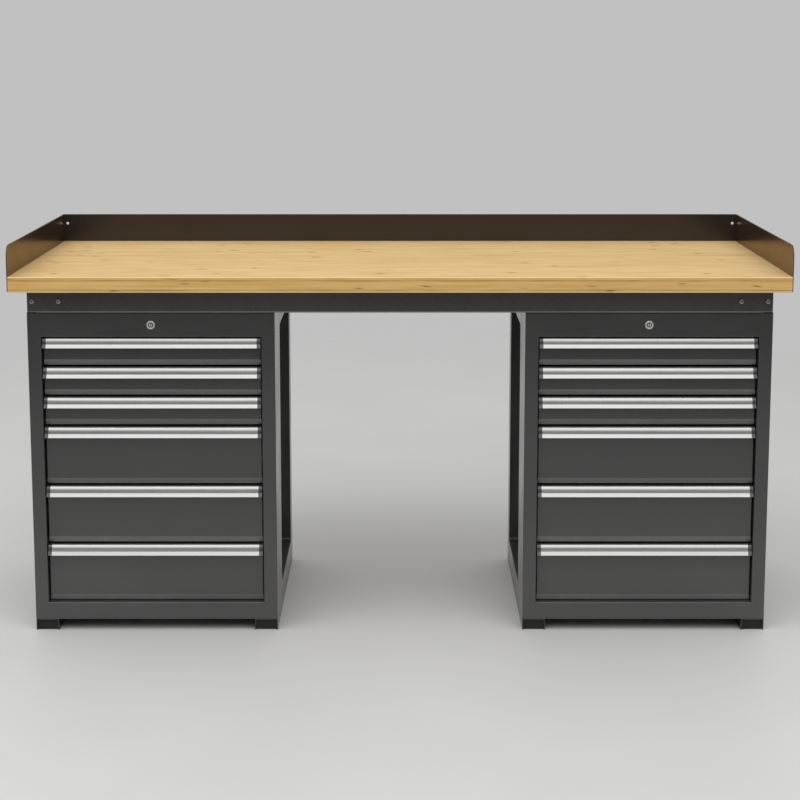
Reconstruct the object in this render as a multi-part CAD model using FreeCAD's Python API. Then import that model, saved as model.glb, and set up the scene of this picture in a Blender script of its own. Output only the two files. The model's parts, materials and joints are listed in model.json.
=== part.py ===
import FreeCAD, Part
import math
import os

# Workbench: a wooden worktop with raised sheet ledges, on a steel underframe that two
# six-drawer cabinets carry. All lengths are millimetres, the front faces -Y, +Z is up,
# and the origin is on the floor under the middle of the bench.

# Cabinets and the space between them
CABINET_WIDTH = 638.0
CABINET_DEPTH = 610.0
KNEE_WIDTH = 646.0
SKID_WIDTH = 60.0
SKID_HEIGHT = 30.0
SKID_SHEET = 3.0
SKID_SETBACK = 3.0
SKID_END_INSET = 5.0
PANEL_SHEET = 1.5

# Front frame of a cabinet
STILE_WIDTH = 35.0
TOP_RAIL = 63.0
BOTTOM_RAIL = 46.0
FRAME_RETURN = 40.0
OPENING_RETURN = 22.0
FRAME_BEND = 2.5

# Sunk field in each side panel, given by the borders that stay flush
RECESS_DEPTH = 28.0
RECESS_FRONT_BORDER = 175.0
RECESS_REAR_BORDER = 60.0
RECESS_TOP_BORDER = 60.0
RECESS_BOTTOM_BORDER = 45.0
RECESS_CORNER = 12.0

# Drawers, counted from the top: shallow ones, then deep ones
SHALLOW_DRAWERS = 3
DEEP_DRAWERS = 3
SHALLOW_PITCH = 79.0
DEEP_PITCH = 158.0
FRONT_SIDE_GAP = 2.5
FRONT_TOP_GAP = 2.0
FRONT_BOTTOM_GAP = 2.5
FRONT_SETBACK = 15.0
FRONT_DEPTH = 20.0
FRONT_BEND = 2.0
BEVEL_HEIGHT = 15.0
BEVEL_DEPTH = 4.5
TRAY_SHEET = 1.2
TRAY_HEM = 7.0
TRAY_TOP_GAP = 14.0
TRAY_BOTTOM_GAP = 10.0
TRAY_REAR_GAP = 40.0

# Drawer runners, two members each side, on posts inside the side panels
RUNNER_HEIGHT = 35.0
RUNNER_SPACE = 12.7
RUNNER_SHEET = 1.2
RUNNER_PLAY = 0.4
RUNNER_LIP_GAP = 2.0
RUNNER_SETBACK = 2.0
POST_WIDTH = 25.0

# Aluminium handle, an extrusion with a flared lip that fingers hook from below, and its end caps
HANDLE_HEIGHT = 27.0
HANDLE_DEPTH = 19.0
HANDLE_WALL = 2.2
HANDLE_TOP_FLAT = 4.0
HANDLE_LIP_HEIGHT = 9.0
HANDLE_LIP_SLOPE = 5.0
HANDLE_FOOT = 9.0
HANDLE_OVERHANG = 0.5
CAP_LENGTH = 10.0
CAP_EDGE = 0.8
HANDLE_CURVE_STEPS = 8

# Lock of a cabinet: a key plug turns a shaft, whose crank lifts a bar behind the drawers
LOCK_RADIUS = 11.0
LOCK_BEZEL = 2.5
LOCK_BODY_RADIUS = 9.0
LOCK_BODY_LENGTH = 24.0
LOCK_NUT_RADIUS = 13.0
LOCK_NUT_LENGTH = 4.0
PLUG_RADIUS = 6.5
PLUG_PLAY = 0.3
PLUG_NOSE_RADIUS = 4.4
PLUG_NOSE_LENGTH = 2.0
KEYWAY_WIDTH = 1.6
KEYWAY_HEIGHT = 8.0
KEYWAY_DEPTH = 6.0
SHAFT_RADIUS = 4.0
CRANK_RADIUS = 10.0
CRANK_RIM = 5.0
CRANK_LENGTH = 5.0
CRANK_PIN_RADIUS = 3.0
CRANK_PIN_END = 1.5
CRANK_PLAY = 0.5
CRANK_START_ANGLE = 45.0
LOCK_BAR_WIDTH = 24.0
LOCK_BAR_SHEET = 3.0
LOCK_BAR_HEAD = 12.0
SLOT_PLAY = 0.5
BAR_PLAY = 0.3
BAR_GUIDE_WIDTH = 8.0
BAR_GUIDE_HEIGHT = 20.0
BEARING_SHEET = 3.0
BEARING_WIDTH = 30.0
BEARING_RIM = 8.0
CATCH_SHEET = 2.0
CATCH_REACH = 9.0
CATCH_LIP = 8.0
CATCH_WIDTH = 20.0
CATCH_DROP = 6.0
HOOK_WIDTH = 16.0
HOOK_NOSE = 8.0
HOOK_SETBACK = 2.5
CATCH_GAP = 2.0

# Underframe: two folded beams along the bench and a welded cross rail at each end
BEAM_HEIGHT = 60.0
BEAM_FLANGE = 40.0
BEAM_SHEET = 2.5
BEAM_BEND = 4.0
BEAM_END_INSET = 2.0
BEAM_NOTCH = 22.0
CROSS_RAIL_WIDTH = 40.0
CROSS_RAIL_SHEET = 2.0
END_PLATE_WIDTH = 92.0
END_PLATE_SHEET = 4.0
END_PLATE_GAP = 1.0
BOLT_TO_PLATE_EDGE = 12.0
CABINET_BOLT_INSET = 119.0

# Worktop and the folded ledges round three of its sides
WORKTOP_THICKNESS = 40.0
WORKTOP_FRONT_OVERHANG = 50.0
WORKTOP_REAR_OVERHANG = 86.0
WORKTOP_END_OVERHANG = 35.0
WORKTOP_EDGE_RADIUS = 2.0
LEDGE_RISE = 80.0
LEDGE_SHEET = 2.0
LEDGE_SKIRT_GAP = 2.0
LEDGE_HEM = 13.0
LEDGE_CORNER_RADIUS = 28.0
LEDGE_SLIT = 1.5
LEDGE_SLIT_SETBACK = 48.0
LEDGE_BEND_SHARE = 0.85
LEDGE_HOLE_RADIUS = 4.0
LEDGE_HOLE_INSET = 10.0
LEDGE_HOLE_DROP = 27.0

# Fasteners
BOLT_RADIUS = 4.0
BOLT_LENGTH = 16.0
BOLT_HEAD_RADIUS = 7.0
BOLT_HEAD_HEIGHT = 4.4
BOLT_SOCKET = 5.0
BOLT_SOCKET_DEPTH = 2.6
SCREW_RADIUS = 2.5
SCREW_LENGTH = 25.0
SCREW_HEAD_RADIUS = 5.0
SCREW_HEAD_HEIGHT = 1.9
SCREW_SOCKET = 3.0
SCREW_SOCKET_DEPTH = 1.2
FASTENER_PLAY = 0.2
SIDE_SCREWS = 3
BACK_SCREWS = 5
BEAM_SCREWS = 6
SCREW_END_MARGIN = 90.0
HEAD_DOME_SHARE = 0.85

# Shared by all cuts, and by the search for edges to round
OVERRUN = 5.0
TOUCH = 0.001
X_AXIS = FreeCAD.Vector(1, 0, 0)
Y_AXIS = FreeCAD.Vector(0, 1, 0)
Z_AXIS = FreeCAD.Vector(0, 0, 1)

# Places that follow from the sizes above, from the floor up
pitches = [SHALLOW_PITCH] * SHALLOW_DRAWERS + [DEEP_PITCH] * DEEP_DRAWERS
cabinet_z = (SKID_HEIGHT, SKID_HEIGHT + BOTTOM_RAIL + sum(pitches) + TOP_RAIL)
opening_z = (cabinet_z[0] + BOTTOM_RAIL, cabinet_z[1] - TOP_RAIL)
beam_z = (cabinet_z[1], cabinet_z[1] + BEAM_HEIGHT)
worktop_z = (beam_z[1], beam_z[1] + WORKTOP_THICKNESS)
ledge_z = (worktop_z[0] + LEDGE_SKIRT_GAP, worktop_z[1] + LEDGE_RISE)
slots = [
    (opening_z[1] - sum(pitches[:i + 1]), opening_z[1] - sum(pitches[:i]))
    for i in range(len(pitches))
]

# From left to right
cabinet_middle = (KNEE_WIDTH + CABINET_WIDTH) / 2
cabinets_half = KNEE_WIDTH / 2 + CABINET_WIDTH
beam_half = cabinets_half - BEAM_END_INSET
worktop_half = cabinets_half + WORKTOP_END_OVERHANG
opening_half = CABINET_WIDTH / 2 - STILE_WIDTH
front_half = opening_half - FRONT_SIDE_GAP
tray_half = opening_half - RUNNER_SPACE
handle_half = front_half + HANDLE_OVERHANG

# From front to back
worktop_depth = WORKTOP_FRONT_OVERHANG + CABINET_DEPTH + WORKTOP_REAR_OVERHANG
worktop_front = -(worktop_depth + 2 * LEDGE_SHEET) / 2
worktop_y = (worktop_front, worktop_front + worktop_depth)
ledge_back = worktop_y[1] + 2 * LEDGE_SHEET
cabinet_y = (worktop_front + WORKTOP_FRONT_OVERHANG, worktop_y[1] - WORKTOP_REAR_OVERHANG)
drawer_face = cabinet_y[0] + FRONT_SETBACK
tray_y = (drawer_face + FRONT_DEPTH, cabinet_y[1] - TRAY_REAR_GAP)
front_post = cabinet_y[0] + (FRAME_RETURN + RECESS_FRONT_BORDER) / 2
rear_post = cabinet_y[1] - RECESS_REAR_BORDER / 2
runner_y = (tray_y[0] + RUNNER_SETBACK, rear_post + POST_WIDTH / 2)

# Lock line: the shaft runs back over the top drawer to the bar in the rear gap
lock_z = cabinet_z[1] - TOP_RAIL / 2
crank_drop = CRANK_RADIUS * math.sin(math.radians(CRANK_START_ANGLE))
crank_side = CRANK_RADIUS * math.cos(math.radians(CRANK_START_ANGLE))
bar_lift = 2 * crank_drop
bar_offset = -(CRANK_RADIUS + crank_side) / 2
bar_y = (tray_y[1] + CATCH_REACH + HOOK_SETBACK, tray_y[1] + CATCH_REACH + HOOK_SETBACK + LOCK_BAR_SHEET)
crank_y = (bar_y[0] - CRANK_PLAY - CRANK_LENGTH, bar_y[0] - CRANK_PLAY)
bearing_y = (crank_y[0] - CRANK_PLAY - BEARING_SHEET, crank_y[0] - CRANK_PLAY)


def vector(x, y, z):
    return FreeCAD.Vector(x, y, z)


def around(middle, size):
    """Span of a size about its middle."""
    return (middle - size / 2, middle + size / 2)


def grown(span, by):
    return (span[0] - by, span[1] + by)


def inward(face, side, near, far):
    """Span between two depths measured from a side face towards the cabinet's middle."""
    return tuple(sorted((face - side * near, face - side * far)))


def block(x, y, z):
    """Box between three (low, high) spans."""
    return Part.makeBox(x[1] - x[0], y[1] - y[0], z[1] - z[0], vector(x[0], y[0], z[0]))


def bar(radius, start, axis, length):
    return Part.makeCylinder(radius, length, start, axis)


def prism(points, x):
    """Polygon of (y, z) points, extruded over a span of x."""
    corners = [vector(x[0], y, z) for y, z in points]
    face = Part.Face(Part.makePolygon(corners + corners[:1]))
    return face.extrude(X_AXIS * (x[1] - x[0]))


def edges_at(shape, axis, **place):
    """Straight edges along an axis whose middle lies at the given x, y or z."""
    found = []
    for edge in shape.Edges:
        straight = edge.Curve.TypeId == "Part::GeomLine"
        if not straight or edge.Curve.Direction.cross(axis).Length > TOUCH:
            continue
        middle = edge.CenterOfMass
        if all(abs(getattr(middle, name) - value) < TOUCH for name, value in place.items()):
            found.append(edge)
    return found


def front_edges(shape, y, x, z):
    """The four edges of a rectangle that faces the front."""
    upright = [edge for value in x for edge in edges_at(shape, Z_AXIS, x=value, y=y)]
    level = [edge for value in z for edge in edges_at(shape, X_AXIS, y=y, z=value)]
    return upright + level


def spread(count, span, margin):
    """Evenly spaced places along a span, a margin in from each end."""
    step = (span[1] - span[0] - 2 * margin) / (count - 1)
    return [span[0] + margin + step * i for i in range(count)]


def socket_screw(radius, length, head_radius, head_height, socket, socket_depth):
    """Domed screw with a hexagon socket, its head standing on z = 0 and its shank below."""
    head = Part.makeCylinder(head_radius, head_height)
    rim = [edge for edge in head.Edges if abs(edge.CenterOfMass.z - head_height) < TOUCH]
    head = head.makeFillet(head_height * HEAD_DOME_SHARE, rim)
    corner = socket / math.sqrt(3)
    turns = [i * math.pi / 3 for i in range(7)]
    points = [vector(corner * math.cos(turn), corner * math.sin(turn), 0) for turn in turns]
    hexagon = Part.Face(Part.makePolygon(points)).extrude(Z_AXIS * (socket_depth + OVERRUN))
    hexagon.translate(Z_AXIS * (head_height - socket_depth))
    return head.cut(hexagon).fuse(Part.makeCylinder(radius, length, vector(0, 0, -length)))


def placed(shape, point, axis):
    """Copy of a screw with its head at a point, facing along an axis."""
    copy = shape.copy()
    copy.Placement = FreeCAD.Placement(point, FreeCAD.Rotation(Z_AXIS, axis))
    return copy


# Places of the fasteners, as (point under the head, axis that the head faces)
ledge_screw_z = (worktop_z[0] + worktop_z[1]) / 2
side_screw_places = [
    (vector(side * (worktop_half + LEDGE_SHEET), y, ledge_screw_z), X_AXIS * side)
    for side in (-1, 1)
    for y in spread(SIDE_SCREWS, worktop_y, SCREW_END_MARGIN)
]
back_screw_places = [
    (vector(x, worktop_y[1] + LEDGE_SHEET, ledge_screw_z), Y_AXIS)
    for x in spread(BACK_SCREWS, (-worktop_half, worktop_half), SCREW_END_MARGIN)
]
beam_middles = (cabinet_y[0] + BEAM_FLANGE / 2, cabinet_y[1] - BEAM_FLANGE / 2)
beam_screw_places = [
    (vector(x, y, beam_z[1] - BEAM_SHEET), -Z_AXIS)
    for y in beam_middles
    for x in spread(BEAM_SCREWS, (-beam_half, beam_half), SCREW_END_MARGIN + END_PLATE_WIDTH)
]
screw_places = side_screw_places + back_screw_places + beam_screw_places
end_plate_middle = beam_half - END_PLATE_GAP - END_PLATE_WIDTH / 2
beam_bolt_places = [
    (vector(x, y, (beam_z[0] + beam_z[1]) / 2), axis)
    for y, axis in ((cabinet_y[0], -Y_AXIS), (cabinet_y[1], Y_AXIS))
    for side in (-1, 1)
    for x in around(side * end_plate_middle, END_PLATE_WIDTH - 2 * BOLT_TO_PLATE_EDGE)
]
cabinet_bolt_places = [
    (vector(x, y, cabinet_z[1] - PANEL_SHEET), -Z_AXIS)
    for side in (-1, 1)
    for y in beam_middles
    for x in around(side * cabinet_middle, CABINET_WIDTH - 2 * CABINET_BOLT_INSET)
]


def drilled(shape, places, radius, length):
    """Shape with clearance holes where fasteners pass."""
    for point, axis in places:
        start = point + axis * OVERRUN
        shape = shape.cut(bar(radius + FASTENER_PLAY, start, -axis, length + OVERRUN + FASTENER_PLAY))
    return shape


def worktop():
    board = block((-worktop_half, worktop_half), worktop_y, worktop_z)
    front = [edge for z in worktop_z for edge in edges_at(board, X_AXIS, y=worktop_y[0], z=z)]
    board = board.makeFillet(WORKTOP_EDGE_RADIUS, front)
    return drilled(board, screw_places, SCREW_RADIUS, SCREW_LENGTH)


def back_ledge():
    x = (-worktop_half, worktop_half)
    sheet = block(x, (worktop_y[1], worktop_y[1] + LEDGE_SHEET), ledge_z)
    hem = block(x, (worktop_y[1], ledge_back), (ledge_z[1] - LEDGE_HEM, ledge_z[1]))
    ledge = sheet.fuse(hem).removeSplitter()
    top_y = (worktop_y[1], ledge_back)
    top = [edge for y in top_y for edge in edges_at(ledge, X_AXIS, y=y, z=ledge_z[1])]
    ledge = ledge.makeFillet(LEDGE_SHEET * LEDGE_BEND_SHARE, top)
    for side in (-1, 1):
        hole_x = side * (worktop_half - LEDGE_HOLE_INSET)
        start = vector(hole_x, worktop_y[1] - OVERRUN, ledge_z[1] - LEDGE_HOLE_DROP)
        ledge = ledge.cut(bar(LEDGE_HOLE_RADIUS, start, Y_AXIS, 2 * LEDGE_SHEET + 2 * OVERRUN))
    return drilled(ledge, back_screw_places, SCREW_RADIUS, SCREW_LENGTH)


def side_ledge(side):
    """Ledge on one end: a hem on its outside stops at a slit behind the rounded front corner."""
    slit_y = worktop_y[0] + LEDGE_SLIT_SETBACK
    sheet = block(inward(side * worktop_half, side, -LEDGE_SHEET, 0), (worktop_y[0], ledge_back), ledge_z)
    sheet = sheet.makeFillet(LEDGE_CORNER_RADIUS, edges_at(sheet, X_AXIS, y=worktop_y[0], z=ledge_z[1]))
    hem_x = inward(side * worktop_half, side, -2 * LEDGE_SHEET, 0)
    hem_z = (ledge_z[1] - LEDGE_HEM, ledge_z[1])
    hem = block(hem_x, (slit_y + LEDGE_SLIT, ledge_back), hem_z)
    ledge = sheet.fuse(hem)
    slit_z = (hem_z[0], hem_z[1] + OVERRUN)
    slit = block(grown(hem_x, OVERRUN), (slit_y, slit_y + LEDGE_SLIT), slit_z)
    ledge = ledge.cut(slit).removeSplitter()
    top = [edge for x in hem_x for edge in edges_at(ledge, Y_AXIS, x=x, z=ledge_z[1])]
    top = [edge for edge in top if edge.CenterOfMass.y > slit_y + LEDGE_SLIT]
    ledge = ledge.makeFillet(LEDGE_SHEET * LEDGE_BEND_SHARE, top)
    return drilled(ledge, side_screw_places, SCREW_RADIUS, SCREW_LENGTH)


def beam(front):
    """Channel with its web outwards and its bottom flange cut back at both ends."""
    face = cabinet_y[0] if front else cabinet_y[1]
    out = -1 if front else 1
    x = (-beam_half, beam_half)
    channel = block(x, inward(face, out, 0, BEAM_FLANGE), beam_z)
    bends = [edge for z in beam_z for edge in edges_at(channel, X_AXIS, y=face, z=z)]
    channel = channel.makeFillet(BEAM_BEND, bends)
    hollow_y = inward(face, out, BEAM_SHEET, BEAM_FLANGE + OVERRUN)
    channel = channel.cut(block(grown(x, OVERRUN), hollow_y, grown(beam_z, -BEAM_SHEET)))
    for side in (-1, 1):
        notch_x = inward(side * beam_half, side, -OVERRUN, BEAM_NOTCH)
        notch_y = inward(face, out, -OVERRUN, BEAM_FLANGE + OVERRUN)
        notch_z = (beam_z[0] - OVERRUN, beam_z[0] + BEAM_SHEET)
        channel = channel.cut(block(notch_x, notch_y, notch_z))
    channel = drilled(channel, beam_bolt_places, BOLT_RADIUS, BOLT_LENGTH)
    channel = drilled(channel, cabinet_bolt_places, BOLT_RADIUS, BOLT_LENGTH)
    return drilled(channel, beam_screw_places, SCREW_RADIUS, SCREW_LENGTH)


def cross_rail(side):
    """Tube between the beams' webs, with a plate at each end that the beam bolts go through."""
    middle = side * end_plate_middle
    y = grown(cabinet_y, -BEAM_SHEET)
    z = grown(beam_z, -BEAM_SHEET)
    rail = block(around(middle, CROSS_RAIL_WIDTH), y, z)
    bore_x = around(middle, CROSS_RAIL_WIDTH - 2 * CROSS_RAIL_SHEET)
    rail = rail.cut(block(bore_x, grown(y, OVERRUN), grown(z, -CROSS_RAIL_SHEET)))
    plate_x = around(middle, END_PLATE_WIDTH)
    rail = rail.fuse(block(plate_x, (y[0], y[0] + END_PLATE_SHEET), z))
    rail = rail.fuse(block(plate_x, (y[1] - END_PLATE_SHEET, y[1]), z))
    return drilled(rail.removeSplitter(), beam_bolt_places, BOLT_RADIUS, BOLT_LENGTH)


def front_frame(cx):
    """Folded front of a cabinet: outer returns on four sides and returns round the drawer opening."""
    x = around(cx, CABINET_WIDTH)
    opening_x = around(cx, 2 * opening_half)
    front = cabinet_y[0]
    frame = block(x, (front, front + FRAME_RETURN), cabinet_z)
    frame = frame.makeFillet(FRAME_BEND, front_edges(frame, front, x, cabinet_z))
    inside = block(grown(x, -PANEL_SHEET), (front + PANEL_SHEET, front + FRAME_RETURN + OVERRUN),
                   grown(cabinet_z, -PANEL_SHEET))
    frame = frame.cut(inside)
    return_y = (front, front + OPENING_RETURN)
    frame = frame.fuse(block(grown(opening_x, PANEL_SHEET), return_y, grown(opening_z, PANEL_SHEET)))
    frame = frame.cut(block(opening_x, grown(return_y, OVERRUN), opening_z)).removeSplitter()
    frame = frame.makeFillet(FRAME_BEND, front_edges(frame, front, opening_x, opening_z))
    lock_start = vector(cx, front - OVERRUN, lock_z)
    frame = frame.cut(bar(LOCK_BODY_RADIUS + PLUG_PLAY, lock_start, Y_AXIS, FRAME_RETURN))
    return drilled(frame, cabinet_bolt_places, BOLT_RADIUS, BOLT_LENGTH)


def side_panel(cx, side):
    """Flat sheet with a large rounded rectangle sunk into it."""
    face = cx + side * CABINET_WIDTH / 2
    recess_y = (cabinet_y[0] + RECESS_FRONT_BORDER, cabinet_y[1] - RECESS_REAR_BORDER)
    recess_z = (cabinet_z[0] + RECESS_BOTTOM_BORDER, cabinet_z[1] - RECESS_TOP_BORDER)
    sheet_y = (cabinet_y[0] + FRAME_RETURN, cabinet_y[1])
    sheet = block(inward(face, side, 0, PANEL_SHEET), sheet_y, cabinet_z)
    bulge_x = inward(face, side, 0, RECESS_DEPTH + PANEL_SHEET)
    bulge = block(bulge_x, grown(recess_y, PANEL_SHEET), grown(recess_z, PANEL_SHEET))
    bulge = bulge.makeFillet(RECESS_CORNER + PANEL_SHEET, edges_at(bulge, X_AXIS))
    pocket = block(inward(face, side, -OVERRUN, RECESS_DEPTH), recess_y, recess_z)
    pocket = pocket.makeFillet(RECESS_CORNER, edges_at(pocket, X_AXIS))
    return sheet.fuse(bulge).cut(pocket).removeSplitter()


def pans(cx):
    """Top and bottom sheets of a cabinet, and the bearing plate that hangs from the top one."""
    x = grown(around(cx, CABINET_WIDTH), -PANEL_SHEET)
    y = (cabinet_y[0] + FRAME_RETURN, cabinet_y[1])
    top = block(x, y, (cabinet_z[1] - PANEL_SHEET, cabinet_z[1]))
    bottom = block(x, y, (cabinet_z[0], cabinet_z[0] + PANEL_SHEET))
    bearing_z = (lock_z - BEARING_RIM, cabinet_z[1] - PANEL_SHEET)
    bearing = block(around(cx, BEARING_WIDTH), bearing_y, bearing_z)
    bore_start = vector(cx, bearing_y[0] - OVERRUN, lock_z)
    bore = bar(SHAFT_RADIUS + PLUG_PLAY, bore_start, Y_AXIS, BEARING_SHEET + 2 * OVERRUN)
    return [drilled(top, cabinet_bolt_places, BOLT_RADIUS, BOLT_LENGTH), bottom, bearing.cut(bore)]


def back_panel(cx):
    """Rear sheet with two pairs of lugs that guide the lock bar."""
    inner_y = cabinet_y[1] - PANEL_SHEET
    x = grown(around(cx, CABINET_WIDTH), -PANEL_SHEET)
    panel = block(x, (inner_y, cabinet_y[1]), grown(cabinet_z, -PANEL_SHEET))
    for middle in (opening_z[0] + BOTTOM_RAIL, opening_z[1] - BOTTOM_RAIL):
        for side in (-1, 1):
            near = cx + bar_offset + side * (LOCK_BAR_WIDTH / 2 + BAR_PLAY)
            lug_x = inward(near, side, -BAR_GUIDE_WIDTH, 0)
            panel = panel.fuse(block(lug_x, (bar_y[0], inner_y), around(middle, BAR_GUIDE_HEIGHT)))
    return panel.removeSplitter()


def runner_posts(cx):
    """Four channels inside the side panels, whose webs carry the runners."""
    posts = []
    for side in (-1, 1):
        outside = cx + side * (CABINET_WIDTH / 2 - PANEL_SHEET)
        reach = CABINET_WIDTH / 2 - PANEL_SHEET - opening_half
        for middle in (front_post, rear_post):
            y = around(middle, POST_WIDTH)
            z = grown(cabinet_z, -PANEL_SHEET)
            post = block(inward(outside, side, 0, reach), y, z)
            hollow_x = inward(outside, side, -OVERRUN, reach - PANEL_SHEET)
            posts.append(post.cut(block(hollow_x, grown(y, -PANEL_SHEET), grown(z, OVERRUN))))
    return posts


def runner_middle(slot):
    """Height of the runners, half way up the tray's sides."""
    return (slot[0] + TRAY_BOTTOM_GAP + slot[1] - TRAY_TOP_GAP) / 2


def fixed_runner(cx, side, slot):
    """Outer member: a channel on the posts, open towards the drawer."""
    face = cx + side * opening_half
    z = around(runner_middle(slot), RUNNER_HEIGHT)
    channel = block(inward(face, side, 0, RUNNER_SPACE - RUNNER_LIP_GAP), runner_y, z)
    hollow_x = inward(face, side, RUNNER_SHEET, RUNNER_SPACE + OVERRUN)
    return channel.cut(block(hollow_x, grown(runner_y, OVERRUN), grown(z, -RUNNER_SHEET)))


def drawer_runner(cx, side, slot):
    """Inner member: a channel on the tray's side, running inside the outer one."""
    face = cx + side * opening_half
    z = around(runner_middle(slot), RUNNER_HEIGHT - 2 * (RUNNER_SHEET + RUNNER_PLAY))
    channel = block(inward(face, side, RUNNER_SHEET + RUNNER_PLAY, RUNNER_SPACE), tray_y, z)
    hollow_x = inward(face, side, -OVERRUN, RUNNER_SPACE - RUNNER_SHEET)
    return channel.cut(block(hollow_x, grown(tray_y, OVERRUN), grown(z, -RUNNER_SHEET)))


def front_z(slot):
    return (slot[0] + FRONT_BOTTOM_GAP, slot[1] - FRONT_TOP_GAP)


def drawer_front(cx, slot):
    """Folded front, open behind, whose foot slopes back above the handle below."""
    low, high = front_z(slot)
    back = drawer_face + FRONT_DEPTH
    crease = low + BEVEL_HEIGHT
    x = around(cx, 2 * front_half)
    panel = prism([(drawer_face, high), (drawer_face, crease), (drawer_face + BEVEL_DEPTH, low),
                   (back, low), (back, high)], x)
    uprights = [edge for value in x for edge in edges_at(panel, Z_AXIS, x=value, y=drawer_face)]
    panel = panel.makeFillet(FRONT_BEND, uprights)
    slope = math.hypot(BEVEL_DEPTH, BEVEL_HEIGHT)
    crease_in = crease + PANEL_SHEET * (slope - BEVEL_HEIGHT) / BEVEL_DEPTH
    foot_in = drawer_face + BEVEL_DEPTH + PANEL_SHEET * (slope - BEVEL_DEPTH) / BEVEL_HEIGHT
    skin = drawer_face + PANEL_SHEET
    hollow = prism([(skin, high - PANEL_SHEET), (skin, crease_in), (foot_in, low + PANEL_SHEET),
                    (back + OVERRUN, low + PANEL_SHEET), (back + OVERRUN, high - PANEL_SHEET)],
                   grown(x, -PANEL_SHEET))
    return panel.cut(hollow)


def tray_sheets(cx, slot):
    """Floor, walls and hemmed sides of a tray, with the lock catch on its rear wall."""
    z = (slot[0] + TRAY_BOTTOM_GAP, slot[1] - TRAY_TOP_GAP)
    x = around(cx, 2 * tray_half)
    wall_z = (z[0] + TRAY_SHEET, z[1])
    inner_x = grown(x, -TRAY_SHEET)
    floor = block(x, tray_y, (z[0], z[0] + TRAY_SHEET))
    front_wall = block(inner_x, (tray_y[0], tray_y[0] + TRAY_SHEET), wall_z)
    rear_wall = block(inner_x, (tray_y[1] - TRAY_SHEET, tray_y[1]), wall_z)
    sides = []
    for side in (-1, 1):
        face = cx + side * tray_half
        wall = block(inward(face, side, 0, TRAY_SHEET), tray_y, wall_z)
        hem_y = grown(tray_y, -TRAY_SHEET)
        wall = wall.fuse(block(inward(face, side, 0, TRAY_HEM), hem_y, (z[1] - TRAY_SHEET, z[1])))
        sides.append(wall.removeSplitter())
    catch_x = around(cx + bar_offset, CATCH_WIDTH)
    plate_z = (z[1] - CATCH_DROP, z[1] - CATCH_DROP + CATCH_SHEET)
    catch = block(catch_x, (tray_y[1], tray_y[1] + CATCH_REACH), plate_z)
    lip_y = (tray_y[1] + CATCH_REACH - CATCH_SHEET, tray_y[1] + CATCH_REACH)
    catch = catch.fuse(block(catch_x, lip_y, (plate_z[0] - CATCH_LIP, plate_z[1])))
    return [floor, front_wall, rear_wall.fuse(catch).removeSplitter()] + sides


def quarter(start, end):
    """Elliptic quarter from a level start to an upright end, as the points of a smooth curve."""
    wide = end[0] - start[0]
    tall = start[1] - end[1]
    angles = [math.pi / 2 * i / HANDLE_CURVE_STEPS for i in range(HANDLE_CURVE_STEPS + 1)]
    return [(start[0] + wide * math.sin(a), end[1] + tall * math.cos(a)) for a in angles]


def handle_solid(slot, x, hollow):
    """Handle section over a span of x, hollow for the extrusion and filled for an end cap."""
    foot_z = slot[1] - FRONT_TOP_GAP - HANDLE_HEIGHT
    crown = HANDLE_HEIGHT
    knee = (HANDLE_DEPTH - HANDLE_LIP_SLOPE, HANDLE_LIP_HEIGHT)
    lip = (HANDLE_DEPTH, 0)
    outer = quarter((HANDLE_TOP_FLAT, crown), knee)
    inner = quarter((HANDLE_TOP_FLAT, crown - HANDLE_WALL), (knee[0] - HANDLE_WALL, knee[1]))

    def point(place):
        return vector(x[0], drawer_face - place[0], foot_z + place[1])

    def line(a, b):
        return Part.LineSegment(point(a), point(b)).toShape()

    def curve(points):
        spline = Part.BSplineCurve()
        spline.interpolate([point(place) for place in points])
        return spline.toShape()

    edges = [line((0, crown), outer[0]), curve(outer), line(knee, lip)]
    if hollow:
        lip_in = (lip[0] - HANDLE_WALL, 0)
        edges += [line(lip, lip_in), line(lip_in, inner[-1]), curve(inner[::-1])]
        corner = (HANDLE_WALL, crown - HANDLE_WALL)
        foot = (HANDLE_WALL, HANDLE_FOOT)
        edges += [line(inner[0], corner), line(corner, foot)]
        edges += [line(foot, (0, HANDLE_FOOT)), line((0, HANDLE_FOOT), (0, crown))]
    else:
        edges += [line(lip, (0, 0)), line((0, 0), (0, crown))]
    return Part.Face(Part.Wire(Part.__sortEdges__(edges))).extrude(X_AXIS * (x[1] - x[0]))


def handle(cx, slot):
    return handle_solid(slot, around(cx, 2 * (handle_half - CAP_LENGTH)), True)


def handle_caps(cx, slot):
    caps = []
    for side in (-1, 1):
        face = cx + side * handle_half
        cap = handle_solid(slot, inward(face, side, 0, CAP_LENGTH), False)
        rim = [edge for edge in cap.Edges if abs(edge.CenterOfMass.x - face) < TOUCH]
        caps.append(cap.makeFillet(CAP_EDGE, rim))
    return caps


def lock_housing(cx):
    """Bezel on the top rail, body through it, and the nut that clamps it from behind."""
    front = cabinet_y[0]
    bezel = bar(LOCK_RADIUS, vector(cx, front - LOCK_BEZEL, lock_z), Y_AXIS, LOCK_BEZEL)
    body = bar(LOCK_BODY_RADIUS, vector(cx, front, lock_z), Y_AXIS, LOCK_BODY_LENGTH)
    nut = bar(LOCK_NUT_RADIUS, vector(cx, front + PANEL_SHEET, lock_z), Y_AXIS, LOCK_NUT_LENGTH)
    bore_start = vector(cx, front - LOCK_BEZEL - OVERRUN, lock_z)
    bore = bar(PLUG_RADIUS + PLUG_PLAY, bore_start, Y_AXIS, LOCK_BEZEL + LOCK_BODY_LENGTH + 2 * OVERRUN)
    housing = bezel.fuse(body).fuse(nut).cut(bore).removeSplitter()
    rims = [edge for edge in housing.Edges if abs(edge.CenterOfMass.y - front + LOCK_BEZEL) < TOUCH]
    return housing.makeFillet(LOCK_BEZEL / 2, rims)


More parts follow.
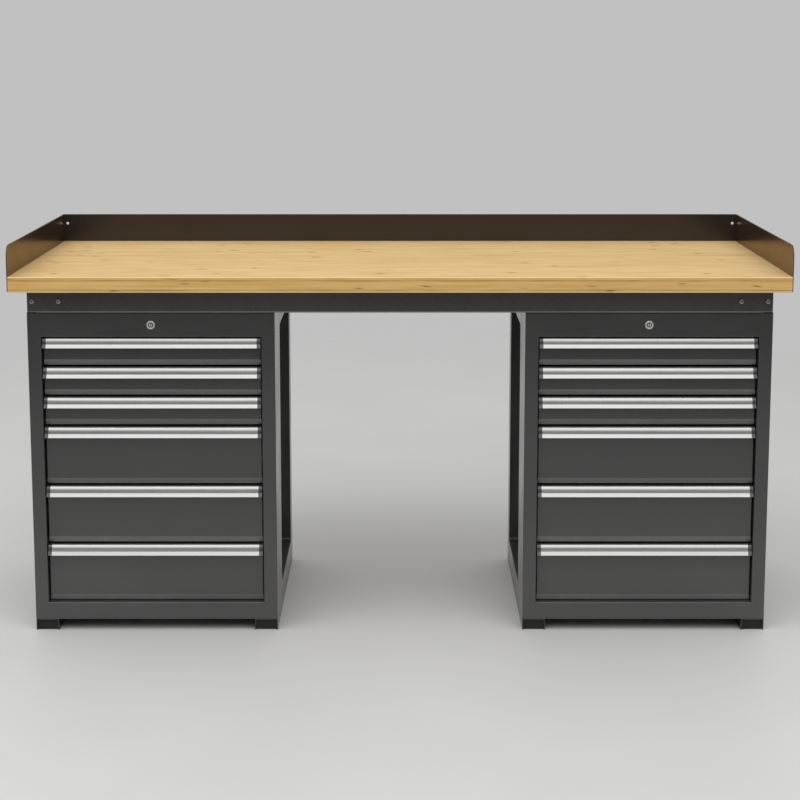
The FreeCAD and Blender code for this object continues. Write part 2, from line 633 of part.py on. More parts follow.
def lock_plug(cx):
    """Plug with its keyway in a narrower nose, and the shaft, crank and pin that turn with it."""
    front = cabinet_y[0] - LOCK_BEZEL
    plug_y = (front + PLUG_NOSE_LENGTH, front + LOCK_BEZEL + LOCK_BODY_LENGTH)
    plug = bar(PLUG_RADIUS, vector(cx, plug_y[0], lock_z), Y_AXIS, plug_y[1] - plug_y[0])
    plug = plug.fuse(bar(PLUG_NOSE_RADIUS, vector(cx, front, lock_z), Y_AXIS, PLUG_NOSE_LENGTH))
    keyway_y = (front - OVERRUN, front + KEYWAY_DEPTH)
    keyway = block(around(cx, KEYWAY_WIDTH), keyway_y, around(lock_z, KEYWAY_HEIGHT))
    shaft = bar(SHAFT_RADIUS, vector(cx, keyway_y[1], lock_z), Y_AXIS, crank_y[1] - keyway_y[1])
    crank = bar(CRANK_RADIUS + CRANK_RIM, vector(cx, crank_y[0], lock_z), Y_AXIS, CRANK_LENGTH)
    pin_start = vector(cx - crank_side, crank_y[0], lock_z - crank_drop)
    pin = bar(CRANK_PIN_RADIUS, pin_start, Y_AXIS, bar_y[1] + CRANK_PIN_END - crank_y[0])
    return plug.cut(keyway).fuse(shaft).fuse(crank).fuse(pin).removeSplitter()


def lock_bar(cx):
    """Upright bar, slotted for the crank pin, with a hook under each drawer's catch."""
    x = around(cx + bar_offset, LOCK_BAR_WIDTH)
    pin_z = lock_z - crank_drop
    catch_z = [slot[1] - TRAY_TOP_GAP - CATCH_DROP for slot in slots]
    hook_z = [z - CATCH_GAP - bar_lift - HOOK_NOSE for z in catch_z]
    upright = block(x, bar_y, (hook_z[-1], pin_z + LOCK_BAR_HEAD))
    reach = CRANK_PIN_RADIUS + SLOT_PLAY
    slot_x = (cx - CRANK_RADIUS - reach, cx - crank_side + reach)
    upright = upright.cut(block(slot_x, grown(bar_y, OVERRUN), around(pin_z, 2 * reach)))
    nose_y = (tray_y[1] + HOOK_SETBACK, tray_y[1] + HOOK_SETBACK + CATCH_SHEET)
    for z in hook_z:
        hook_x = around(cx + bar_offset, HOOK_WIDTH)
        upright = upright.fuse(block(hook_x, (nose_y[0], bar_y[0]), (z, z + CATCH_SHEET)))
        upright = upright.fuse(block(hook_x, nose_y, (z, z + HOOK_NOSE)))
    return upright.removeSplitter()


def skid(cx, side):
    """Channel under one edge of a cabinet, open downwards, with a plate set into each end."""
    face = cx + side * CABINET_WIDTH / 2
    y = (cabinet_y[0] + SKID_SETBACK, cabinet_y[1])
    channel = block(inward(face, side, 0, SKID_WIDTH), y, (0, SKID_HEIGHT))
    hollow_x = inward(face, side, SKID_SHEET, SKID_WIDTH - SKID_SHEET)
    hollow_z = (-OVERRUN, SKID_HEIGHT - SKID_SHEET)
    channel = channel.cut(block(hollow_x, grown(y, -SKID_END_INSET - SKID_SHEET), hollow_z))
    channel = channel.cut(block(hollow_x, (y[0] - OVERRUN, y[0] + SKID_END_INSET), hollow_z))
    return channel.cut(block(hollow_x, (y[1] - SKID_END_INSET, y[1] + OVERRUN), hollow_z))


def drawer_nodes(name, cx):
    """Tray, handle and end caps of every drawer in a cabinet."""
    nodes = {}
    for number, slot in enumerate(slots, start=1):
        drawer = f"{name}_drawer_{number}"
        runners = [drawer_runner(cx, side, slot) for side in (-1, 1)]
        nodes[drawer + "_tray"] = [drawer_front(cx, slot)] + tray_sheets(cx, slot) + runners
        nodes[drawer + "_handle"] = [handle(cx, slot)]
        nodes[drawer + "_caps"] = handle_caps(cx, slot)
    return nodes


def bench_nodes():
    """Every node of the bench, as lists of separate solids."""
    sides = {"left": -cabinet_middle, "right": cabinet_middle}
    bolt = socket_screw(BOLT_RADIUS, BOLT_LENGTH, BOLT_HEAD_RADIUS, BOLT_HEAD_HEIGHT,
                        BOLT_SOCKET, BOLT_SOCKET_DEPTH)
    screw = socket_screw(SCREW_RADIUS, SCREW_LENGTH, SCREW_HEAD_RADIUS, SCREW_HEAD_HEIGHT,
                         SCREW_SOCKET, SCREW_SOCKET_DEPTH)
    nodes = {
        "worktop": [worktop()],
        "back_ledge": [back_ledge()],
        "left_side_ledge": [side_ledge(-1)],
        "right_side_ledge": [side_ledge(1)],
        "wood_screws": [placed(screw, *place) for place in screw_places],
        "front_beam": [beam(True)],
        "rear_beam": [beam(False)],
        "cross_rails": [cross_rail(side) for side in (-1, 1)],
        "frame_bolts": [placed(bolt, *place) for place in beam_bolt_places + cabinet_bolt_places],
        "skids": [skid(cx, side) for cx in sides.values() for side in (-1, 1)],
        "back_panels": [back_panel(cx) for cx in sides.values()],
        "runner_posts": [post for cx in sides.values() for post in runner_posts(cx)],
        "fixed_runners": [fixed_runner(cx, side, slot)
                          for cx in sides.values() for slot in slots for side in (-1, 1)],
        "lock_housings": [lock_housing(cx) for cx in sides.values()],
    }
    for name, cx in sides.items():
        nodes[name + "_front_frame"] = [front_frame(cx)]
        nodes[name + "_side_panels"] = [side_panel(cx, side) for side in (-1, 1)]
        nodes[name + "_pans"] = pans(cx)
        nodes[name + "_lock_plug"] = [lock_plug(cx)]
        nodes[name + "_lock_bar"] = [lock_bar(cx)]
        nodes.update(drawer_nodes(name, cx))
    return nodes


def main():
    os.makedirs("parts", exist_ok=True)
    for name, solids in bench_nodes().items():
        shape = solids[0] if len(solids) == 1 else Part.makeCompound(solids)
        shape.exportStep(os.path.join("parts", name + ".step"))


main()
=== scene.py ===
import json
import math
import bpy
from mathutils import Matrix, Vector


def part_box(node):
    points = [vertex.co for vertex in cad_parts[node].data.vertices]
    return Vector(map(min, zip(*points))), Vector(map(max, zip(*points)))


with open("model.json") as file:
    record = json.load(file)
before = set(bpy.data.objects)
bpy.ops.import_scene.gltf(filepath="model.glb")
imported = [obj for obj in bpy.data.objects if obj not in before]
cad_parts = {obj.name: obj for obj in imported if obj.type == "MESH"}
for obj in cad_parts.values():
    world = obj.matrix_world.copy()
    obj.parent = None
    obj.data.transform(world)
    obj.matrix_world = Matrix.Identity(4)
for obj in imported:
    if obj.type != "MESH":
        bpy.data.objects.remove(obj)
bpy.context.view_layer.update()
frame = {"nodes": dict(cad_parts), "record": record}

# Finish of the workbench: all sizes are metres, colours are linear, and the front faces -Y.

# Laminated bamboo board: strips on its faces, thinner plies on its edges
STRIP_WIDTH = 0.020
PLY_HEIGHT = 0.006
FLAT_FACING = 0.7
GLUE_LINES = (0.9165, 0.9405)
GLUE_HALF = (0.0004, 0.0022)
GLUE_STRETCH = (9.0, 0.0, 260.0)
GLUE_DEPTHS = (0.25, 0.95)
KNUCKLE_STEP = 0.42
KNUCKLE_SPREAD = 31.0
KNUCKLE_HALF = (0.005, 0.013)
KNUCKLE_SHARES = (0.13, 0.33)
KNUCKLE_ODDS = (0.56, 0.95)
KNUCKLE_DEPTH = 0.95
WANDER_STRETCH = (0.0, 300.0, 300.0)
WANDER_SHARES = (0.46, 0.54)
SEAM_SHARES = (0.02, 0.07)
SEAM_DEPTHS = (0.04, 0.40)
SEAM_RELIEF = 0.8
SLOW_ALONG = 6.0
SLOW_ACROSS = 3.7
STREAK_STRETCH = (3.0, 330.0, 330.0)
STREAK_DETAIL = 4.0
FIBRE_STRETCH = (24.0, 2600.0, 2600.0)
FIBRE_RANGE = (0.3, 0.75)
STRIP_TONE = 0.22
SLOW_TONE = 0.45
STREAK_TONE = 0.36
FIBRE_TONE = 0.22
# Painted highlight on the board's rounded arrises: the facings where it starts and ends, and its
# strength
ARRIS_HIGHLIGHT_START = (0.05, 0.2)
ARRIS_HIGHLIGHT_END = (0.92, 0.99)
ARRIS_HIGHLIGHT_DEPTH = 0.85
BAMBOO_LIGHT = (0.82, 0.60, 0.305, 1)
BAMBOO_DARK = (0.60, 0.38, 0.14, 1)
BAMBOO_EDGE_TINT = (1.05, 0.96, 0.77, 1)
# Colour of the painted highlight on the arrises
BAMBOO_ARRIS_HIGHLIGHT = (0.95, 0.77, 0.50, 1)
BAMBOO_KNUCKLE = (0.18, 0.075, 0.013, 1)
BAMBOO_SEAM = (0.33, 0.18, 0.06, 1)
BAMBOO_ROUGHNESS = (0.50, 0.62)
BAMBOO_GLOSS = 0.12
BAMBOO_RELIEF = (0.0002, 0.35)

# Baked paints, each as colour, roughness, grain and refraction
PAINTS = {
    "anthracite_paint": ((0.029, 0.029, 0.0286, 1), 0.22, 0.08, 1.7),
    # Lighter copy of the fronts' paint for their sloping feet: painted light
    "anthracite_painted_light": ((0.095, 0.095, 0.0935, 1), 0.24, 0.08, 1.7),
    # Written lighter than the fronts' paint: painted light against the shade under the board's
    # overhang
    "beam_paint": ((0.041, 0.0405, 0.039, 1), 0.28, 0.08, 1.6),
    # Light paint for the beam's lower bend: a painted highlight
    "beam_painted_highlight": ((0.22, 0.218, 0.214, 1), 0.26, 0.08, 1.6),
    # The ledges' paint, lighter and warmer than plain_black where it faces the board: part of a
    # painted reflection
    "black_paint": ((0.046, 0.041, 0.041, 1), 0.20, 0.06, 1.6),
    "plain_black": ((0.016, 0.016, 0.0158, 1), 0.24, 0.06, 1.6),
}

# Painted reflection in a paint: its metallic share, and the warm tint of its reflection at flat
# angles, which paints the board's reflection in the ledges
PAINTED_REFLECTIONS = {"black_paint": (0.6, (1.0, 0.77, 0.52, 1))}
NO_PAINTED_REFLECTION = (0.0, (1, 1, 1, 1))

# Texture of the paints: noises as scale and detail, and how far they change the colour
PAINT_CLOUD = (6.0, 3.0)
PAINT_PEEL = (900.0, 2.0)
PAINT_SPECK = (2600.0, 1.0)
CLOUD_SHADES = (0.93, 1.07)
SPECK_RANGE = (0.55, 0.8)
SPECK_SHARE = 0.25
SPECK_SHADE = 1.6
# Painted light from the floor: the heights over which the paint grows lighter towards the bottom,
# and by how much
PAINTED_LIGHT_RISE = (0.06, 0.42)
PAINTED_LIGHT_GAIN = (1.8, 1.8, 1.8, 1)
PAINT_ROUGH_RANGE = (0.7, 1.3)
PAINT_ROUGH_SPREAD = (-0.04, 0.05)
PEEL_HEIGHT = 0.00012

# Anodised aluminium, drawn along X
ALUMINIUM_STRETCH = (2.5, 1500.0, 1500.0)
ALUMINIUM_CLOUD = (9.0, 2.0)
ALUMINIUM_CLOUD_SHARE = 0.4
ALUMINIUM_SHADES = ((0.43, 0.43, 0.425, 1), (0.53, 0.53, 0.525, 1))
ALUMINIUM_ROUGH_RANGE = (0.4, 1.0)
ALUMINIUM_ROUGHNESS = (0.33, 0.41)
ALUMINIUM_RELIEF = (0.00006, 0.25)

# Moulded plastic, and a dull, darker paint inside the skids' ends and on the bends under the
# beam, a painted shade
PLASTIC_GRAIN = (1800.0, 2.0)
PLASTIC_SHADES = ((0.036, 0.036, 0.036, 1), (0.050, 0.050, 0.051, 1))
PLASTIC_ROUGHNESS = (0.18, 0.30)
PLASTIC_REFRACTION = 1.6
MATTE_GRAIN = (1500.0, 3.0)
# Darker tones of the dull paint, a painted shade
PAINTED_SHADE_TONES = ((0.006, 0.006, 0.006, 1), (0.010, 0.010, 0.010, 1))
MATTE_ROUGHNESS = (0.60, 0.72)
GRAIN_RELIEF = (0.0001, 0.2)

# Plated runners, dark bolts and screws, and satin lock faces
FINE_DETAIL = 3.0
ZINC_CELLS = 160.0
ZINC_STRETCH = (900.0, 5.0, 900.0)
ZINC_SHADES = ((0.52, 0.53, 0.53, 1), (0.66, 0.66, 0.65, 1))
ZINC_ROUGHNESS = (0.30, 0.46)
ZINC_RELIEF = (0.00005, 0.2)
BOLT_SPECK = (1200.0, 3.0)
BOLT_SHADES = ((0.25, 0.25, 0.252, 1), (0.33, 0.33, 0.33, 1))
BOLT_ROUGHNESS = (0.12, 0.20)
LOCK_STRETCH = (2500.0, 600.0, 400.0)
LOCK_SHADES = ((0.72, 0.72, 0.71, 1), (0.82, 0.82, 0.81, 1))
LOCK_ROUGHNESS = (0.32, 0.42)

# Parts of a noise's range that are spread over a whole change
NARROW = (0.3, 0.7)
MEDIUM = (0.25, 0.75)
WIDE = (0.2, 0.8)

# Places and facings that tell one node's finishes apart
DRAWER_FRONT_DEPTH = 0.020
DRAWER_RUNNER_DEPTH = 0.0110
LOCK_NOSE_DEPTH = 0.0005
LOCK_FACE_DEPTH = 0.020
SKID_RIM_DEPTH = 0.002
SKID_PLATE_DEPTH = 0.010
BEND_HEIGHT = 0.0035
SLIGHTLY = 0.1
MOSTLY = 0.5
FULLY = 0.9

# Camera at the photograph's viewing angle
CAMERA_PLACE = (0.0, -4.611, 1.569)
CAMERA_PITCH = 0.142
CAMERA_LENS = 76.0
CAMERA_SHIFT = -0.16

# Studio: light levels of the world by direction, one soft lamp and a floor that fades out
WORLD_BACK = 0.53
WORLD_FRONT = 0.20
WORLD_TOP = 0.80
WORLD_RISE = (0.2, 0.9)
WORLD_TURN = (-0.7, 0.3)
LAMP_PLACE = (-0.6, -2.6, 4.2)
LAMP_TARGET = (0, -0.3, 0.7)
LAMP_SIZE = (9.0, 5.0)
LAMP_POWER = 175.0
FLOOR_COLOUR = (0.66, 0.66, 0.65, 1)
FLOOR_CLOUD = (1.2, 3.0)
FLOOR_SHADES = (0.98, 1.02)
FLOOR_ROUGHNESS = (0.50, 0.56)
FLOOR_RADIUS = 16.0
FLOOR_FADE = (2.4, 5.0)
FLOOR_SEGMENTS = 96

for leftover in ("Cube", "Camera", "Light"):
    if leftover in bpy.data.objects:
        bpy.data.objects.remove(bpy.data.objects[leftover])


class Graph:
    """Short ways to add linked nodes to one material's or world's tree."""

    def __init__(self, tree):
        self.tree = tree

    def feed(self, socket, value):
        if isinstance(value, bpy.types.NodeSocket):
            self.tree.links.new(value, socket)
        else:
            socket.default_value = value

    def add(self, kind, inputs=None, **settings):
        node = self.tree.nodes.new("ShaderNode" + kind)
        for name, value in settings.items():
            setattr(node, name, value)
        for name, value in (inputs or {}).items():
            self.feed(node.inputs[name], value)
        return node

    def place(self):
        """Position in the shared frame, because every node's object sits at the origin."""
        return self.add("TexCoord").outputs["Object"]

    def math(self, operation, a, b=0.0):
        return self.add("Math", {0: a, 1: b}, operation=operation).outputs[0]

    def split(self, vector):
        return self.add("SeparateXYZ", {0: vector}).outputs

    def join(self, x, y, z):
        return self.add("CombineXYZ", {0: x, 1: y, 2: z}).outputs[0]

    def stretch(self, vector, scales):
        return self.add("VectorMath", {0: vector, 1: scales}, operation="MULTIPLY").outputs[0]

    def noise(self, vector, scale=1.0, detail=2.0):
        inputs = {"Vector": vector, "Scale": scale, "Detail": detail}
        return self.add("TexNoise", inputs).outputs[0]

    def chance(self, vector):
        return self.add("TexWhiteNoise", {"Vector": vector}, noise_dimensions="3D").outputs[0]

    def span(self, value, low, high, to_low=0.0, to_high=1.0):
        inputs = {"Value": value, "From Min": low, "From Max": high}
        inputs.update({"To Min": to_low, "To Max": to_high})
        return self.add("MapRange", inputs, interpolation_type="SMOOTHSTEP").outputs[0]

    def choose(self, factor, a, b):
        return self.add("Mix", {0: factor, 2: a, 3: b}, data_type="FLOAT").outputs[0]

    def blend(self, factor, a, b, kind="MIX"):
        inputs = {0: factor, 6: a, 7: b}
        return self.add("Mix", inputs, data_type="RGBA", blend_type=kind).outputs[2]

    def bump(self, height, distance, strength):
        inputs = {"Height": height, "Distance": distance, "Strength": strength}
        return self.add("Bump", inputs).outputs[0]


def new_material(name):
    material = bpy.data.materials.new(name)
    material.use_nodes = True
    shader = material.node_tree.nodes["Principled BSDF"]
    return material, Graph(material.node_tree), shader.inputs


def scaled(colour, by):
    return (colour[0] * by, colour[1] * by, colour[2] * by, 1)


def bamboo():
    """Strips of bamboo along X, each with its own tone, fibres and dark knuckles."""
    material, graph, shader = new_material("bamboo_board")
    place = graph.place()
    x, y, z = graph.split(place)
    upward = graph.split(graph.add("NewGeometry").outputs["True Normal"])[2]
    steep = graph.math("ABSOLUTE", upward)
    flat = graph.math("GREATER_THAN", steep, FLAT_FACING)
    ply = graph.math("DIVIDE", z, PLY_HEIGHT)
    across = graph.choose(flat, ply, graph.math("DIVIDE", y, STRIP_WIDTH))
    strip = graph.math("FLOOR", across)
    strip_tone = graph.chance(graph.join(strip, flat, 0.0))

    # Knuckles: one short dark band in some of the cells along each strip
    shift = graph.math("MULTIPLY", strip_tone, KNUCKLE_SPREAD)
    along = graph.math("ADD", graph.math("DIVIDE", x, KNUCKLE_STEP), shift)
    cell_tone = graph.chance(graph.join(strip, flat, graph.math("FLOOR", along)))
    wander = graph.noise(graph.stretch(place, WANDER_STRETCH))
    middle = graph.span(wander, *WIDE, *WANDER_SHARES)
    off = graph.math("ABSOLUTE", graph.math("SUBTRACT", graph.math("FRACT", along), middle))
    band = graph.span(graph.math("MULTIPLY", off, KNUCKLE_STEP), *KNUCKLE_HALF, 1.0, 0.0)
    rim = graph.math("ABSOLUTE", graph.math("SUBTRACT", graph.math("FRACT", across), 0.5))
    band = graph.math("MULTIPLY", band, graph.span(rim, *KNUCKLE_SHARES, 1.0, 0.0))
    knuckle = graph.math("MULTIPLY", band, graph.span(cell_tone, *KNUCKLE_ODDS))

    # Seams between the strips, and darker glue lines that show only on the edges
    seam = graph.span(graph.math("SUBTRACT", 0.5, rim), *SEAM_SHARES, 1.0, 0.0)
    edge = graph.math("SUBTRACT", 1.0, flat)
    glue = [graph.math("ABSOLUTE", graph.math("SUBTRACT", z, line)) for line in GLUE_LINES]
    glue = graph.span(graph.math("MINIMUM", *glue), *GLUE_HALF, 1.0, 0.0)
    glue = graph.math("MULTIPLY", glue, edge)

    # Tone: by strip, slowly along it, in streaks and in fibres
    slow_x = graph.math("MULTIPLY", x, SLOW_ALONG)
    slow_strip = graph.math("MULTIPLY", strip, SLOW_ACROSS)
    slow = graph.noise(graph.join(slow_x, slow_strip, strip_tone))
    streak = graph.noise(graph.stretch(place, STREAK_STRETCH), detail=STREAK_DETAIL)
    fibre = graph.noise(graph.stretch(place, FIBRE_STRETCH))
    tone = graph.math("MULTIPLY", strip_tone, STRIP_TONE)
    tone = graph.math("ADD", tone, graph.span(slow, *MEDIUM, 0.0, SLOW_TONE))
    tone = graph.math("ADD", tone, graph.span(streak, *MEDIUM, 0.0, STREAK_TONE))
    colour = graph.blend(tone, BAMBOO_LIGHT, BAMBOO_DARK)
    colour = graph.blend(edge, colour, BAMBOO_EDGE_TINT, "MULTIPLY")
    colour = graph.blend(graph.span(fibre, *FIBRE_RANGE, 0.0, FIBRE_TONE), colour, BAMBOO_DARK)

    # Seams, glue and knuckles over it, and a painted highlight on the rounded arrises
    seam_depth = graph.span(strip_tone, 0.0, 1.0, *SEAM_DEPTHS)
    colour = graph.blend(graph.math("MULTIPLY", seam, seam_depth), colour, BAMBOO_SEAM)
    glue_noise = graph.noise(graph.stretch(place, GLUE_STRETCH))
    glue_depth = graph.span(glue_noise, *NARROW, *GLUE_DEPTHS)
    colour = graph.blend(graph.math("MULTIPLY", glue, glue_depth), colour, BAMBOO_SEAM)
    colour = graph.blend(graph.math("MULTIPLY", knuckle, KNUCKLE_DEPTH), colour, BAMBOO_KNUCKLE)
    # Painted highlight on the rounded arrises between the flat faces
    arris_highlight = graph.math(
        "MULTIPLY", graph.span(steep, *ARRIS_HIGHLIGHT_START), graph.span(steep, *ARRIS_HIGHLIGHT_END, 1.0, 0.0)
    )
    colour = graph.blend(graph.math("MULTIPLY", arris_highlight, ARRIS_HIGHLIGHT_DEPTH), colour, BAMBOO_ARRIS_HIGHLIGHT)
    graph.feed(shader["Base Color"], colour)
    graph.feed(shader["Roughness"], graph.span(streak, *WIDE, *BAMBOO_ROUGHNESS))
    shader["Specular IOR Level"].default_value = BAMBOO_GLOSS
    height = graph.math("SUBTRACT", fibre, graph.math("MULTIPLY", seam, SEAM_RELIEF))
    graph.feed(shader["Normal"], graph.bump(height, *BAMBOO_RELIEF))
    return material


def powder_coat(name):
    """Baked paint with a fine orange peel, faint unevenness and painted light: it grows lighter
    towards the floor.
    """
    colour, roughness, grain, refraction = PAINTS[name]
    reflection_metallic, reflection_tint = PAINTED_REFLECTIONS.get(name, NO_PAINTED_REFLECTION)
    material, graph, shader = new_material(name)
    place = graph.place()
    cloud = graph.noise(place, *PAINT_CLOUD)
    peel = graph.noise(place, *PAINT_PEEL)
    speck = graph.noise(place, *PAINT_SPECK)
    shades = [scaled(colour, shade) for shade in CLOUD_SHADES]
    tint = graph.blend(graph.span(cloud, *NARROW), *shades)
    speck_share = graph.span(speck, *SPECK_RANGE, 0.0, SPECK_SHARE)
    tint = graph.blend(speck_share, tint, scaled(colour, SPECK_SHADE))
    # Painted light: the paint grows lighter towards the floor
    painted_floor_light = graph.span(graph.split(place)[2], *PAINTED_LIGHT_RISE, 1.0, 0.0)
    tint = graph.blend(painted_floor_light, tint, graph.blend(1.0, tint, PAINTED_LIGHT_GAIN, "MULTIPLY"))
    graph.feed(shader["Base Color"], tint)
    rough_span = [roughness + spread for spread in PAINT_ROUGH_SPREAD]
    rough = graph.span(graph.math("ADD", cloud, peel), *PAINT_ROUGH_RANGE, *rough_span)
    graph.feed(shader["Roughness"], rough)
    shader["IOR"].default_value = refraction
    # Metallic share and warm tint that paint the board's reflection
    shader["Metallic"].default_value = reflection_metallic
    shader["Specular Tint"].default_value = reflection_tint
    graph.feed(shader["Normal"], graph.bump(peel, PEEL_HEIGHT, grain))
    return material


def satin_aluminium():
    """Anodised extrusion with fine drawing lines along its length."""
    material, graph, shader = new_material("satin_aluminium")
    place = graph.place()
    lines = graph.noise(graph.stretch(place, ALUMINIUM_STRETCH), detail=FINE_DETAIL)
    cloud = graph.noise(place, *ALUMINIUM_CLOUD)
    graph.feed(shader["Base Color"], graph.blend(graph.span(lines, *NARROW), *ALUMINIUM_SHADES))
    shader["Metallic"].default_value = 1.0
    rough = graph.math("ADD", lines, graph.math("MULTIPLY", cloud, ALUMINIUM_CLOUD_SHARE))
    rough = graph.span(rough, *ALUMINIUM_ROUGH_RANGE, *ALUMINIUM_ROUGHNESS)
    graph.feed(shader["Roughness"], rough)
    graph.feed(shader["Normal"], graph.bump(lines, *ALUMINIUM_RELIEF))
    return material


def moulded_plastic():
    """Black plastic with the fine grain of its mould."""
    material, graph, shader = new_material("black_plastic")
    grain = graph.noise(graph.place(), *PLASTIC_GRAIN)
    graph.feed(shader["Base Color"], graph.blend(graph.span(grain, *NARROW), *PLASTIC_SHADES))
    graph.feed(shader["Roughness"], graph.span(grain, *WIDE, *PLASTIC_ROUGHNESS))
    shader["IOR"].default_value = PLASTIC_REFRACTION
    graph.feed(shader["Normal"], graph.bump(grain, *GRAIN_RELIEF))
    return material


def painted_shade_black():
    """Dull, very dark paint that paints shade: inside the skids' ends and on the fronts' bends
    under the beam.
    """
    material, graph, shader = new_material("painted_shade_black")
    grain = graph.noise(graph.place(), *MATTE_GRAIN)
    graph.feed(shader["Base Color"], graph.blend(graph.span(grain, *NARROW), *PAINTED_SHADE_TONES))
    graph.feed(shader["Roughness"], graph.span(grain, *WIDE, *MATTE_ROUGHNESS))
    graph.feed(shader["Normal"], graph.bump(grain, *GRAIN_RELIEF))
    return material


def zinc_plate():
    """Plated steel with the faint cells of its plating and some drawing marks."""
    material, graph, shader = new_material("zinc_steel")
    place = graph.place()
    cells = graph.add("TexVoronoi", {"Vector": place, "Scale": ZINC_CELLS}).outputs["Color"]
    marks = graph.noise(graph.stretch(place, ZINC_STRETCH), detail=FINE_DETAIL)
    cell_tone = graph.split(cells)[0]
    graph.feed(shader["Base Color"], graph.blend(graph.span(cell_tone, 0.0, 1.0), *ZINC_SHADES))
    shader["Metallic"].default_value = 1.0
    graph.feed(shader["Roughness"], graph.span(marks, *WIDE, *ZINC_ROUGHNESS))
    graph.feed(shader["Normal"], graph.bump(marks, *ZINC_RELIEF))
    return material


def dark_steel():
    """Dark plated steel of the bolts and screws."""
    material, graph, shader = new_material("black_steel")
    speck = graph.noise(graph.place(), *BOLT_SPECK)
    graph.feed(shader["Base Color"], graph.blend(graph.span(speck, *NARROW), *BOLT_SHADES))
    shader["Metallic"].default_value = 1.0
    graph.feed(shader["Roughness"], graph.span(speck, *WIDE, *BOLT_ROUGHNESS))
    return material


def lock_plating():
    """Satin plating with fine turning marks and polishing scratches."""
    material, graph, shader = new_material("lock_chrome")
    place = graph.place()
    scratch = graph.noise(graph.stretch(place, LOCK_STRETCH), detail=FINE_DETAIL)
    graph.feed(shader["Base Color"], graph.blend(graph.span(scratch, *NARROW), *LOCK_SHADES))
    shader["Metallic"].default_value = 1.0
    graph.feed(shader["Roughness"], graph.span(scratch, *WIDE, *LOCK_ROUGHNESS))
    return material


finishes = {"bamboo": bamboo()}
for paint in PAINTS:
    finishes[paint] = powder_coat(paint)
finishes["painted_shade_black"] = painted_shade_black()
finishes["satin_aluminium"] = satin_aluminium()
finishes["black_plastic"] = moulded_plastic()
finishes["zinc_steel"] = zinc_plate()
finishes["black_steel"] = dark_steel()
finishes["lock_chrome"] = lock_plating()


def dress_nodes():
    """Each CAD node takes the finish of its slot in the record."""
    for part in frame["record"]["subparts"]:
        node = frame["nodes"][part["node"]]
        node.material_slots[0].material = finishes[part["material_slot"]]


def further_finish(name, finish, belongs):
    """Gives the polygons that a test picks a finish of their own."""
    mesh = frame["nodes"][name].data
    index = len(mesh.materials)
    mesh.materials.append(finish)
    for polygon in mesh.polygons:
        if belongs(polygon.center, polygon.normal):
            polygon.material_index = index


def dress_trays():
    """The moving runners are plated steel, and the fronts' sloping feet get a lighter copy of the
    paint: painted light.
    """
    for name in frame["nodes"]:
        if not name.endswith("_tray"):
            continue
        low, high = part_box(name)
        middle = (low.x + high.x) / 2
        inner = (high.x - low.x) / 2 - DRAWER_RUNNER_DEPTH
        start = low.y + DRAWER_FRONT_DEPTH

        def on_runner(point, facing):
            return abs(point.x - middle) > inner and point.y > start

        # The feet take the lighter paint, a painted light
        def on_painted_light_foot(point, facing):
            return point.y < start and facing.y < -MOSTLY and facing.z < -SLIGHTLY

        further_finish(name, finishes["zinc_steel"], on_runner)
        further_finish(name, finishes["anthracite_painted_light"], on_painted_light_foot)


def dress_locks():
    """Each plug has a plated nose in a groove painted black as its shade, and a zinc shaft and
    crank.
    """
    for name in ("left_lock_plug", "right_lock_plug"):
        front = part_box(name)[0].y

        def in_painted_shade_groove(point, facing):
            return front + LOCK_NOSE_DEPTH < point.y < front + LOCK_FACE_DEPTH

        def on_shaft(point, facing):
            return point.y > front + LOCK_FACE_DEPTH

        # Black plastic in the groove, a painted shade
        further_finish(name, finishes["black_plastic"], in_painted_shade_groove)
        further_finish(name, finishes["zinc_steel"], on_shaft)


def dress_skids():
    """Plain black skids: the plates set into their ends get a dull, darker paint as painted
    shade, and only the rims shine.
    """
    frame["nodes"]["skids"].material_slots[0].material = finishes["plain_black"]
    low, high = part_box("skids")

    # The end plates take the darker dull paint, a painted shade
    def on_painted_shade_plate(point, facing):
        inset = min(point.y - low.y, high.y - point.y)
        return abs(facing.y) > FULLY and SKID_RIM_DEPTH < inset < SKID_PLATE_DEPTH

    further_finish("skids", finishes["painted_shade_black"], on_painted_shade_plate)


def dress_ledges():
    """The ledges are plain black outside; where they face the board their paint is lighter and
    warmer, a painted reflection of the board.
    """
    outward = {"back_ledge": (0, 1), "left_side_ledge": (-1, 0), "right_side_ledge": (1, 0)}
    for name, (out_x, out_y) in outward.items():

        # Only the outer faces lose the warm paint; the faces towards the board keep its painted
        # reflection
        def outside(point, facing):
            return facing.x * out_x + facing.y * out_y > MOSTLY

        further_finish(name, finishes["plain_black"], outside)


def dress_painted_bends():
    """Painted light on the bends: a painted highlight on the front beam's lower bend, and painted
    shade on the fronts' upper bends under it.
    """
    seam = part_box("front_beam")[0].z

    # Painted highlight on the beam's lower bend
    def on_beam_highlight(point, facing):
        low_enough = point.z < seam + BEND_HEIGHT
        return low_enough and facing.y < -SLIGHTLY and facing.z < -SLIGHTLY

    # Painted shade on the fronts' upper bends under the beam
    def on_front_painted_shade(point, facing):
        return point.z > seam - BEND_HEIGHT and facing.z > SLIGHTLY

    further_finish("front_beam", finishes["beam_painted_highlight"], on_beam_highlight)
    for name in ("left_front_frame", "right_front_frame"):
        further_finish(name, finishes["painted_shade_black"], on_front_painted_shade)


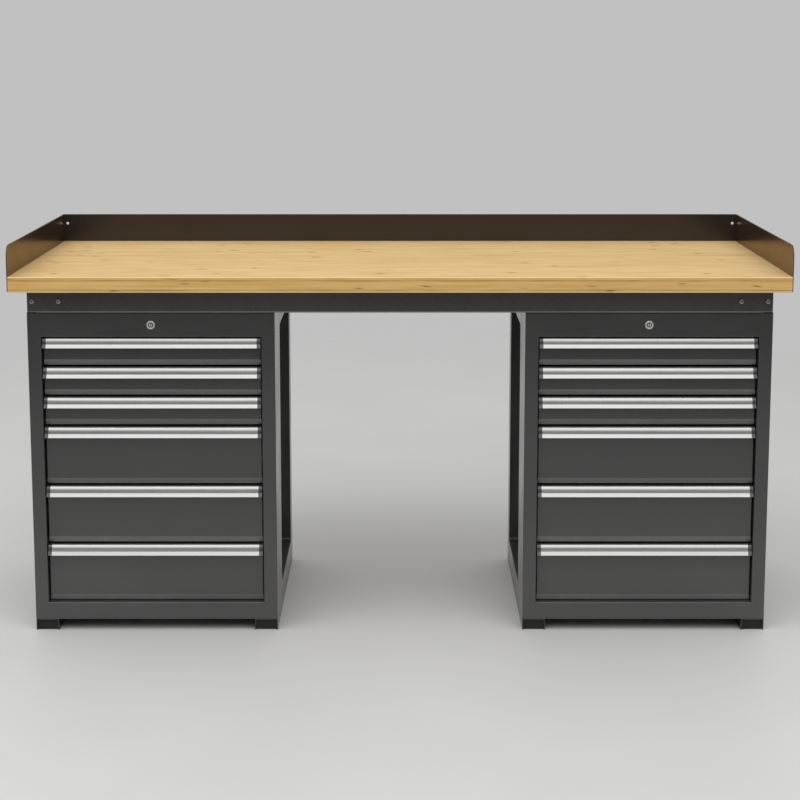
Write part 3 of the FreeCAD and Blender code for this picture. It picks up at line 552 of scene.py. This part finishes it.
def studio_floor():
    """Pale floor that fades out far from the object, so that no horizon shows."""
    mesh = bpy.data.meshes.new("studio_floor")
    turns = [2 * math.pi * i / FLOOR_SEGMENTS for i in range(FLOOR_SEGMENTS)]
    rim = [(FLOOR_RADIUS * math.cos(turn), FLOOR_RADIUS * math.sin(turn), 0) for turn in turns]
    mesh.from_pydata(rim, [], [tuple(range(FLOOR_SEGMENTS))])
    floor = bpy.data.objects.new("studio_floor", mesh)
    bpy.context.scene.collection.objects.link(floor)
    material, graph, shader = new_material("studio_floor")
    place = graph.place()
    cloud = graph.noise(place, *FLOOR_CLOUD)
    shades = [scaled(FLOOR_COLOUR, shade) for shade in FLOOR_SHADES]
    graph.feed(shader["Base Color"], graph.blend(graph.span(cloud, *NARROW), *shades))
    graph.feed(shader["Roughness"], graph.span(cloud, *NARROW, *FLOOR_ROUGHNESS))
    distance = graph.add("VectorMath", {0: place}, operation="LENGTH").outputs["Value"]
    graph.feed(shader["Alpha"], graph.span(distance, *FLOOR_FADE, 1.0, 0.0))
    mesh.materials.append(material)


def studio_world():
    """Soft surroundings: bright above, dim low in front, and one pale backdrop for the camera."""
    world = bpy.data.worlds.new("studio")
    bpy.context.scene.world = world
    world.use_nodes = True
    graph = Graph(world.node_tree)
    y, z = graph.split(graph.add("TexCoord").outputs["Generated"])[1:]
    front = graph.span(z, *WORLD_RISE, WORLD_FRONT, WORLD_TOP)
    back = graph.span(z, *WORLD_RISE, WORLD_BACK, WORLD_TOP)
    level = graph.choose(graph.span(y, *WORLD_TURN), front, back)
    level = graph.choose(graph.add("LightPath").outputs["Is Camera Ray"], level, WORLD_BACK)
    grey = graph.add("CombineColor", {0: level, 1: level, 2: level}).outputs[0]
    graph.feed(world.node_tree.nodes["Background"].inputs["Color"], grey)


def soft_lamp():
    """One large dim lamp above the front, so that its reflections stay soft."""
    lamp = bpy.data.lights.new("front_key", "AREA")
    lamp.shape = "RECTANGLE"
    lamp.size, lamp.size_y = LAMP_SIZE
    lamp.energy = LAMP_POWER
    holder = bpy.data.objects.new("front_key", lamp)
    holder.location = LAMP_PLACE
    aim = Vector(LAMP_TARGET) - Vector(LAMP_PLACE)
    holder.rotation_euler = aim.to_track_quat("-Z", "Y").to_euler()
    holder.visible_camera = False
    bpy.context.scene.collection.objects.link(holder)


def camera():
    data = bpy.data.cameras.new("camera")
    data.lens = CAMERA_LENS
    data.shift_y = CAMERA_SHIFT
    holder = bpy.data.objects.new("camera", data)
    holder.location = CAMERA_PLACE
    holder.rotation_euler = (math.pi / 2 - CAMERA_PITCH, 0, 0)
    bpy.context.scene.collection.objects.link(holder)
    bpy.context.scene.camera = holder


dress_nodes()
dress_trays()
dress_locks()
dress_skids()
dress_ledges()
dress_painted_bends()
studio_floor()
studio_world()
soft_lamp()
camera()
bpy.context.scene.view_settings.view_transform = "Standard"
